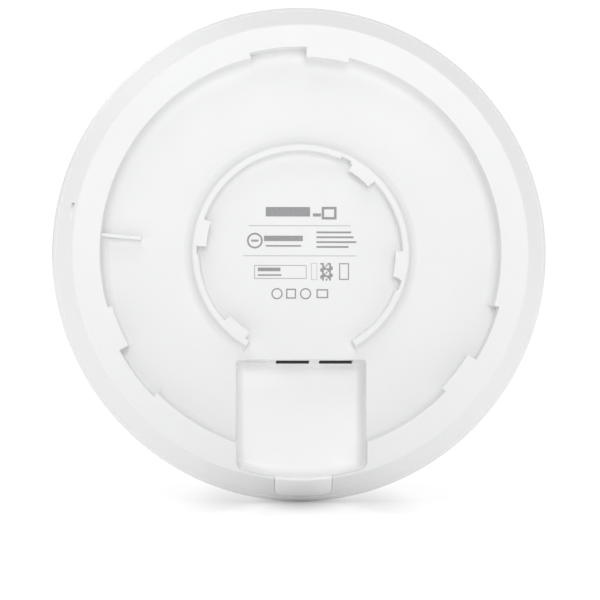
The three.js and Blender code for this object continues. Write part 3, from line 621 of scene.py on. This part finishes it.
def dome_depth(radius, inset=0):
    widest = OUTER_RADIUS if inset == 0 else DOME_RIM_INNER + 0.5
    height = TOTAL_DEPTH - DOME_SHOULDER - inset
    return DOME_SHOULDER + height * max(0, 1 - (radius / widest) ** DOME_POWER) ** (1 / DOME_POWER)


def dome_curve(end_radius, inset, steps, start_radius=None):
    """Points of the dome's outer or inner curve, from its widest circle in to a smaller radius."""
    widest = OUTER_RADIUS if inset == 0 else DOME_RIM_INNER + 0.5
    first = 0 if start_radius is None else math.acos((start_radius / widest) ** (DOME_POWER / 2))
    last = math.acos((end_radius / widest) ** (DOME_POWER / 2))
    turns = [first + (last - first) * k / steps for k in range(steps + 1)]
    radii = [widest * math.cos(turn) ** (2 / DOME_POWER) for turn in turns]
    return [(r, dome_depth(r, inset)) for r in radii]


def dome_cover():
    hole = LIGHT_OUTER + FIT_GAP
    rim = SEAM_DEPTH + 0.06
    edge = 0.4
    outline = rounded([
        (DOME_RIM_INNER, rim, 0.2),
        (SEAM_RADIUS + 0.1, rim, 0.15),
        (OUTER_RADIUS - 0.5, rim + 2, 3),
        (OUTER_RADIUS, DOME_SHOULDER - 0.3, 0),
    ], closed=False)
    outline += dome_curve(hole + edge, 0, 56)
    for t in QUARTER[1:]:
        outline.append((hole + edge * (1 - math.sin(t)), dome_depth(hole) - edge * (1 - math.cos(t))))
    outline += dome_curve(hole, DOME_WALL, 30)[::-1]
    return turned_ring("dome", outline)


def light_guide_ring():
    flange = LIGHT_FLANGE_BACK + 1.5
    sunk = 0.12
    outline = rounded([
        (LIGHT_INNER, flange, 0),
        (LIGHT_FLANGE_INNER, flange, 0.3),
        (LIGHT_FLANGE_INNER, LIGHT_FLANGE_BACK, 0.3),
        (LIGHT_FLANGE_OUTER, LIGHT_FLANGE_BACK, 0.3),
        (LIGHT_FLANGE_OUTER, flange, 0.3),
        (LIGHT_OUTER, flange, 0),
        (LIGHT_OUTER, dome_depth(LIGHT_OUTER) - sunk, 0.3),
        (LIGHT_INNER, dome_depth(LIGHT_INNER) - sunk, 0.3),
    ])
    return turned_ring("light_guide", outline)


def dome_centre_cap():
    edge = LIGHT_INNER - FIT_GAP
    seat = LIGHT_FLANGE_BACK + 1.5 + FIT_GAP
    round_edge = 0.4
    outer = [(r, dome_depth(r)) for r in (0.5, 3, 6, 10, 15, 20, 25, 30, 35, 39, 42, edge - 2, edge - 1)]
    for t in QUARTER:
        outer.append((edge - round_edge * (1 - math.sin(t)),
                      dome_depth(edge) - round_edge * (1 - math.cos(t))))
    inner = rounded([
        (edge, seat, 0),
        (edge - 2.5, seat, 0.3),
        (edge - 2.5, dome_depth(edge - 2.5) - DOME_WALL, 0.5),
        (0.5, TOTAL_DEPTH - DOME_WALL, 0),
    ], closed=False)
    return turned_disc("cap", outer + inner)


# ---------------------------------------------------------------- materials

def new_material(name):
    """A node material with its Principled shader, and helpers to add nodes and links."""
    material = bpy.data.materials.new(name)
    material.use_nodes = True
    tree = material.node_tree
    shader = tree.nodes["Principled BSDF"]
    coordinates = tree.nodes.new("ShaderNodeTexCoord")
    return material, tree, shader, coordinates.outputs["Object"]


def noise(tree, coordinates, scale, detail=3, roughness=0.5):
    node = tree.nodes.new("ShaderNodeTexNoise")
    node.inputs["Scale"].default_value = scale
    node.inputs["Detail"].default_value = detail
    node.inputs["Roughness"].default_value = roughness
    tree.links.new(coordinates, node.inputs["Vector"])
    return node.outputs["Fac"]


def ramp(tree, factor, low, high, start=0.3, end=0.7):
    """Mixes two colours, or two grey values, as factor goes from start to end."""
    node = tree.nodes.new("ShaderNodeValToRGB")
    node.color_ramp.elements[0].position = start
    node.color_ramp.elements[1].position = end
    for element, value in zip(node.color_ramp.elements, (low, high)):
        element.color = (*value, 1) if isinstance(value, tuple) else (value, value, value, 1)
    tree.links.new(factor, node.inputs["Fac"])
    return node.outputs["Color"]


def bump(tree, shader, height, distance, strength=1.0, previous=None):
    node = tree.nodes.new("ShaderNodeBump")
    node.inputs["Distance"].default_value = distance
    node.inputs["Strength"].default_value = strength
    tree.links.new(height, node.inputs["Height"])
    if previous is not None:
        tree.links.new(previous, node.inputs["Normal"])
    tree.links.new(node.outputs["Normal"], shader.inputs["Normal"])
    return node.outputs["Normal"]


def shade(colour, amount):
    return tuple(min(1.0, c * amount) for c in colour)


def moulded_plastic(name, colour, roughness, grain=5500, grain_depth=0.000006, mottle=0.008):
    """Injection-moulded plastic: fine spark-eroded grain, slow tone drift and patchy gloss."""
    material, tree, shader, coordinates = new_material(name)
    drift = noise(tree, coordinates, 18, detail=2)
    tone = ramp(tree, drift, shade(colour, 1 - mottle), shade(colour, 1 + mottle))
    tree.links.new(tone, shader.inputs["Base Color"])
    gloss = noise(tree, coordinates, 70, detail=4, roughness=0.6)
    tree.links.new(ramp(tree, gloss, roughness - 0.05, roughness + 0.06), shader.inputs["Roughness"])
    waves = bump(tree, shader, noise(tree, coordinates, 45, detail=1), 0.00004, strength=0.25)
    bump(tree, shader, noise(tree, coordinates, grain, detail=2), grain_depth, previous=waves)
    shader.inputs["Specular IOR Level"].default_value = 0.45
    return material


def metal(name, colour, roughness, stretch=(1, 1, 1), scale=900, depth=0.000003):
    """Sheet or turned metal with fine lines or speckle and uneven gloss."""
    material, tree, shader, coordinates = new_material(name)
    mapping = tree.nodes.new("ShaderNodeMapping")
    mapping.inputs["Scale"].default_value = stretch
    tree.links.new(coordinates, mapping.inputs["Vector"])
    lines = noise(tree, mapping.outputs["Vector"], scale, detail=4)
    tree.links.new(ramp(tree, noise(tree, coordinates, 120), shade(colour, 0.94), shade(colour, 1.04)),
                   shader.inputs["Base Color"])
    tree.links.new(ramp(tree, lines, roughness - 0.07, roughness + 0.1), shader.inputs["Roughness"])
    bump(tree, shader, lines, depth)
    shader.inputs["Metallic"].default_value = 1.0
    return material


def solder_mask(name, colour, trace_colour):
    """A circuit board: lacquer over copper traces that run in short straight stretches."""
    material, tree, shader, coordinates = new_material(name)
    bricks = tree.nodes.new("ShaderNodeTexBrick")
    bricks.inputs["Scale"].default_value = 180
    bricks.inputs["Mortar Size"].default_value = 0.03
    bricks.inputs["Brick Width"].default_value = 1.7
    bricks.inputs["Row Height"].default_value = 0.22
    swap = tree.nodes.new("ShaderNodeMapping")
    swap.inputs["Rotation"].default_value = (math.radians(90), 0, 0)
    tree.links.new(coordinates, swap.inputs["Vector"])
    tree.links.new(swap.outputs["Vector"], bricks.inputs["Vector"])
    bricks.inputs["Color1"].default_value = (*colour, 1)
    bricks.inputs["Color2"].default_value = (*shade(colour, 0.86), 1)
    bricks.inputs["Mortar"].default_value = (*trace_colour, 1)
    tree.links.new(bricks.outputs["Color"], shader.inputs["Base Color"])
    tree.links.new(ramp(tree, noise(tree, coordinates, 300), 0.28, 0.4), shader.inputs["Roughness"])
    bump(tree, shader, bricks.outputs["Fac"], 0.00002)
    shader.inputs["Coat Weight"].default_value = 0.4
    return material


def diffuser():
    """Milky light-guide plastic that passes light softly."""
    material = moulded_plastic("diffuser", (0.80, 0.83, 0.86), 0.25, grain_depth=0.000002)
    shader = material.node_tree.nodes["Principled BSDF"]
    shader.inputs["Subsurface Weight"].default_value = 0.35
    shader.inputs["Subsurface Radius"].default_value = (0.004, 0.004, 0.005)
    shader.inputs["Subsurface Scale"].default_value = 1.0
    return material


def printed_ink():
    """Grey pad-printed ink with slightly uneven cover."""
    material, tree, shader, coordinates = new_material("printed_ink")
    cover = noise(tree, coordinates, 2600, detail=3)
    tone = ramp(tree, cover, (0.26, 0.26, 0.27), (0.34, 0.34, 0.35))
    tree.links.new(tone, shader.inputs["Base Color"])
    tree.links.new(ramp(tree, noise(tree, coordinates, 900), 0.5, 0.65), shader.inputs["Roughness"])
    return material


WHITE = moulded_plastic("white_cover_plastic", (0.81, 0.812, 0.815), 0.46)
# A brighter copy of the white plastic: painted light on the pocket's faces and on the outlet cover; it
# is also a little glossier.
PAINTED_LIGHT_WHITE = moulded_plastic("white_plastic_with_painted_light", (0.955, 0.956, 0.957), 0.36, grain_depth=0.000002)
DOME_WHITE = moulded_plastic("white_dome_plastic", (0.81, 0.813, 0.816), 0.36, grain_depth=0.000003)
GREY = moulded_plastic("grey_plastic", (0.46, 0.47, 0.49), 0.5)
# Black plastic for the black parts; also painted shade on the ports' front sides in the pocket.
BLACK = moulded_plastic("black_plastic", (0.02, 0.02, 0.022), 0.42)
FERRITE = moulded_plastic("ferrite", (0.045, 0.045, 0.05), 0.75,
                          grain=2500, grain_depth=0.00003, mottle=0.12)
THERMAL_PAD = moulded_plastic("thermal_pad", (0.30, 0.40, 0.52), 0.85,
                              grain=1800, grain_depth=0.00003, mottle=0.05)
LEAD_JACKET = moulded_plastic("lead_jacket", (0.03, 0.03, 0.033), 0.38, grain=3000)
RIBBON = moulded_plastic("ribbon_plastic", (0.78, 0.78, 0.75), 0.35, grain=900, grain_depth=0.00001)
LED_LENS = moulded_plastic("led_lens", (0.86, 0.86, 0.78), 0.15, grain=1500, grain_depth=0.000002)
DIFFUSER = diffuser()
INK = printed_ink()
BOARD_GREEN = solder_mask("board_green", (0.012, 0.11, 0.045), (0.03, 0.19, 0.09))
BOARD_WHITE = solder_mask("board_white", (0.74, 0.74, 0.70), (0.66, 0.66, 0.62))
ALUMINIUM = metal("aluminium", (0.72, 0.73, 0.745), 0.38, scale=700)
TINNED_STEEL = metal("tinned_steel", (0.66, 0.67, 0.68), 0.3, stretch=(1, 1, 12))
GOLD = metal("gold_contacts", (0.83, 0.60, 0.22), 0.24)
BRASS = metal("antenna_brass", (0.72, 0.52, 0.22), 0.3, stretch=(8, 1, 1))
SCREW_STEEL = metal("screw_steel", (0.55, 0.56, 0.58), 0.28)
CAPACITOR_CAN = metal("capacitor_can", (0.70, 0.71, 0.73), 0.25, stretch=(1, 10, 1))

MATERIALS = {
    "white_cover_plastic": WHITE,
    "white_dome_plastic": DOME_WHITE,
    "diffuser_plastic": DIFFUSER,
    "grey_plastic": GREY,
    "black_plastic": BLACK,
    "board_green": BOARD_GREEN,
    "board_white": BOARD_WHITE,
    "ribbon_plastic": RIBBON,
    "ferrite": FERRITE,
    "aluminium": ALUMINIUM,
    "tinned_steel": TINNED_STEEL,
    "gold_contacts": GOLD,
    "antenna_brass": BRASS,
    "screw_steel": SCREW_STEEL,
    "capacitor_can": CAPACITOR_CAN,
    "thermal_pad": THERMAL_PAD,
    "lead_jacket": LEAD_JACKET,
    "led_lens": LED_LENS,
}


# ---------------------------------------------------------------- printed marks

INK_BACK = RECESS_DEPTH - 0.03
INK_FRONT = RECESS_DEPTH - 0.01


def mark(bm, x, z, width, height):
    """A thin printed rectangle on the recess floor, about its centre."""
    thickness = INK_FRONT - INK_BACK
    y = -(INK_BACK + INK_FRONT) / 2
    for vert in bmesh.ops.create_cube(bm, size=1)["verts"]:
        corner = vert.co
        vert.co = Vector((x + corner.x * width, y + corner.y * thickness, z + corner.z * height)) * MM


def outline_mark(bm, x, z, width, height, line=0.25):
    for side in (-1, 1):
        mark(bm, x, z + side * (height - line) / 2, width, line)
        mark(bm, x + side * (width - line) / 2, z, line, height - 2 * line)


def ring_mark(bm, x, z, outer, inner):
    """A printed ring, made of short flat segments."""
    steps = 30
    for k in range(steps):
        a, b = (math.radians(360 * (k + share) / steps) for share in (0, 1))
        corners = [(r * math.cos(turn), r * math.sin(turn))
                   for r, turn in ((inner, a), (outer, a), (outer, b), (inner, b))]
        back, front = ([bm.verts.new(Vector((x + u, -depth, z + v)) * MM) for u, v in corners]
                       for depth in (INK_BACK, INK_FRONT))
        bm.faces.new(back)
        bm.faces.new(front[::-1])
        for i in range(len(corners)):
            j = (i + 1) % len(corners)
            bm.faces.new((back[i], back[j], front[j], front[i]))


def print_heading(bm):
    """Blank bars where the heading and the small paragraph would be."""
    mark(bm, 5.6, 18.2, 19.6, 4.2)
    mark(bm, -7.2, 16.8, 3.6, 1.4)
    outline_mark(bm, -12.6, 17.6, 6.6, 5.6, line=1.1)
    for line, width in enumerate((15.4, 16.4, 17.6, 14.2)):
        mark(bm, -7 - width / 2, 9.1 - 2.15 * line, width, 0.8)


def print_emblem(bm):
    """A plain ring with a bar in it, and a wide blank bar beside it."""
    ring_mark(bm, 20.2, 5.4, 3.5, 2.7)
    mark(bm, 20.2, 5.4, 3.2, 0.9)
    mark(bm, 7.6, 6.4, 17.2, 2.4)
    mark(bm, 7.6, 3.1, 15.6, 0.7)


def print_code_block(bm, x, z):
    """A block of small squares in a plain repeating pattern, from its upper left corner."""
    cell = 0.78
    for row in range(10):
        for column in range(7):
            if (3 * row + 5 * column + row * column) % 4 < 2:
                mark(bm, x - cell * column, z - cell * row, cell, cell)


def print_labels(bm):
    """A blank label box with bars, a block of squares and two blank boxes."""
    outline_mark(bm, 8.9, -8.4, 23, 6)
    mark(bm, 13.9, -7.3, 10, 1.6)
    mark(bm, 13.7, -9.8, 10.4, 0.7)
    outline_mark(bm, -6.0, -8.2, 2.6, 7.4, line=0.15)
    print_code_block(bm, -9.1, -4.8)
    outline_mark(bm, -19.2, -8.2, 4.4, 7.4, line=0.5)


def print_symbols(bm):
    """A row of plain shapes."""
    ring_mark(bm, 10.4, -18, 2.5, 1.9)
    outline_mark(bm, 4.2, -18, 4.4, 4.4, line=0.6)
    ring_mark(bm, -2.2, -18, 2.5, 1.9)
    outline_mark(bm, -9.6, -18, 5.2, 4.0, line=0.6)


def rear_print():
    """Generic printed marks on the recess floor: two rules, blank bars and plain shapes."""
    bm = bmesh.new()
    mark(bm, 0.4, 12.0, 45, 0.22)
    mark(bm, 0.3, -1.3, 50, 0.22)
    print_heading(bm)
    print_emblem(bm)
    print_labels(bm)
    print_symbols(bm)
    mesh = bpy.data.meshes.new("rear_print")
    bm.to_mesh(mesh)
    bm.free()
    obj = bpy.data.objects.new("rear_print", mesh)
    bpy.context.scene.collection.objects.link(obj)
    obj.data.materials.append(INK)
    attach(obj, "housing")


# ---------------------------------------------------------------- the object

stand_for(back_cover(), "back_cover", WHITE)
# The outlet cover takes the brighter copy of the white plastic, which is painted light.
stand_for(cable_outlet_cover(), "cable_outlet_cover", PAINTED_LIGHT_WHITE,
          body="cable_outlet_cover")
stand_for(dome_cover(), "dome_cover", DOME_WHITE)
stand_for(dome_centre_cap(), "dome_centre_cap", DOME_WHITE)
stand_for(light_guide_ring(), "light_guide_ring", DIFFUSER)
paint_pocket_light_and_port_shade(bpy.data.objects["back_cover_look"])
rear_print()

REPLACED = {"back_cover", "cable_outlet_cover", "dome_cover", "dome_centre_cap", "light_guide_ring"}
SLOTS = {row["node"]: row["material_slot"] for row in frame["record"]["subparts"]}
for node, obj in frame["nodes"].items():
    if node in REPLACED:
        continue
    obj.data.materials.clear()
    obj.data.materials.append(MATERIALS[SLOTS[node]])
    bevel(obj, 0.12, segments=2)
    smooth(obj)


# ---------------------------------------------------------------- floor, light and camera

def soft_ramp(tree, factor, stops):
    """A grey value that eases through (position, value) stops."""
    node = tree.nodes.new("ShaderNodeValToRGB")
    node.color_ramp.interpolation = "EASE"
    elements = node.color_ramp.elements
    for position, value in stops:
        stop = elements.new(position)
        stop.color = (value, value, value, 1)
    elements.remove(elements[0])
    elements.remove(elements[-1])
    tree.links.new(factor, node.inputs["Fac"])
    return node.outputs["Color"]


def seen_or_lit(tree):
    """A node that gives To Max to what the camera sees and To Min to what lights the object."""
    path = tree.nodes.new("ShaderNodeLightPath")
    node = tree.nodes.new("ShaderNodeMapRange")
    tree.links.new(path.outputs["Is Camera Ray"], node.inputs["Value"])
    return node


def glow_with_painted_contact_shadow(tree, coordinates):
    """The floor's glow, which dims towards the point that the disc stands on: a painted contact shadow.
    """
    from_contact = tree.nodes.new("ShaderNodeMapping")
    from_contact.inputs["Scale"].default_value = (FLOOR_SCALE_X, FLOOR_SCALE_Y, 0)
    from_contact.inputs["Location"].default_value = (0, FLOOR_SCALE_Y * DOME_SHOULDER * MM, 0)
    tree.links.new(coordinates, from_contact.inputs["Vector"])
    distance = tree.nodes.new("ShaderNodeVectorMath")
    distance.operation = "LENGTH"
    tree.links.new(from_contact.outputs["Vector"], distance.inputs[0])
    return soft_ramp(tree, distance.outputs["Value"], FLOOR_GLOW)


def floor_material():
    material, tree, shader, coordinates = new_material("floor")
    shader.inputs["Base Color"].default_value = (FLOOR_GREY, FLOOR_GREY, FLOOR_GREY, 1)
    shader.inputs["Roughness"].default_value = FLOOR_ROUGHNESS
    shader.inputs["Specular IOR Level"].default_value = FLOOR_GLOSS
    shader.inputs["Emission Color"].default_value = (1, 1, 1, 1)
    seen = seen_or_lit(tree)
    seen.inputs["To Min"].default_value = FLOOR_GLOW_ON_PART
    strength = tree.nodes.new("ShaderNodeMath")
    strength.operation = "MULTIPLY"
    # The glow dims near the part: a painted contact shadow on the floor.
    tree.links.new(glow_with_painted_contact_shadow(tree, coordinates), strength.inputs[0])
    tree.links.new(seen.outputs["Result"], strength.inputs[1])
    tree.links.new(strength.outputs["Value"], shader.inputs["Emission Strength"])
    return material


def build_stage():
    """A pale floor that glows to white away from the part; near the part its glow dims, a painted
    contact shadow on top of the real one.
    """
    floor_z = CAD_BOUNDS[0].z
    mesh = bpy.data.meshes.new("floor")
    reach = FLOOR_REACH
    corners = [(-reach, -reach), (reach, -reach), (reach, reach), (-reach, reach)]
    mesh.from_pydata([(x, y, floor_z) for x, y in corners], [], [(0, 1, 2, 3)])
    floor = bpy.data.objects.new("floor", mesh)
    bpy.context.scene.collection.objects.link(floor)
    floor.data.materials.append(floor_material())


def add_area_light(name, place, size, power):
    """A round area lamp that faces the middle of the disc."""
    light = bpy.data.lights.new(name, "AREA")
    light.shape = "DISK"
    light.size = size
    light.energy = power
    obj = bpy.data.objects.new(name, light)
    obj.location = place
    obj.rotation_mode = "QUATERNION"
    obj.rotation_quaternion = (-Vector(place)).to_track_quat("-Z", "Y")
    bpy.context.scene.collection.objects.link(obj)


def along_surround(tree):
    """How far a direction lies along the surround's axis, from 0 to 1."""
    direction = tree.nodes.new("ShaderNodeTexCoord")
    along_axis = tree.nodes.new("ShaderNodeVectorMath")
    along_axis.operation = "DOT_PRODUCT"
    along_axis.inputs[1].default_value = Vector(SURROUND_AXIS).normalized() / 2
    tree.links.new(direction.outputs["Generated"], along_axis.inputs[0])
    half_up = tree.nodes.new("ShaderNodeMath")
    half_up.inputs[1].default_value = 0.5
    tree.links.new(along_axis.outputs["Value"], half_up.inputs[0])
    return half_up.outputs["Value"]


def build_light():
    """A white surround that lights the object unevenly, and three soft lamps."""
    world = bpy.data.worlds.new("studio")
    bpy.context.scene.world = world
    world.use_nodes = True
    tree = world.node_tree
    seen = seen_or_lit(tree)
    seen.inputs["To Max"].default_value = SURROUND_SEEN
    tree.links.new(soft_ramp(tree, along_surround(tree), SURROUND_LIGHT), seen.inputs["To Min"])
    background = tree.nodes["Background"]
    background.inputs["Color"].default_value = (1, 1, 1, 1)
    tree.links.new(seen.outputs["Result"], background.inputs["Strength"])
    for name, place, size, power in LAMPS:
        add_area_light(name, place, size, power)


def build_camera():
    camera = bpy.data.cameras.new("camera")
    camera.sensor_width = CAMERA_SENSOR
    camera.lens = CAMERA_LENS
    obj = bpy.data.objects.new("camera", camera)
    obj.location = CAMERA_PLACE
    aim = Vector((0, -DOME_SHOULDER * MM, CAMERA_AIM_HEIGHT))
    obj.rotation_mode = "QUATERNION"
    obj.rotation_quaternion = (aim - obj.location).to_track_quat("-Z", "Y")
    bpy.context.scene.collection.objects.link(obj)
    bpy.context.scene.camera = obj


build_stage()
build_light()
build_camera()
bpy.context.scene.view_settings.view_transform = "Standard"
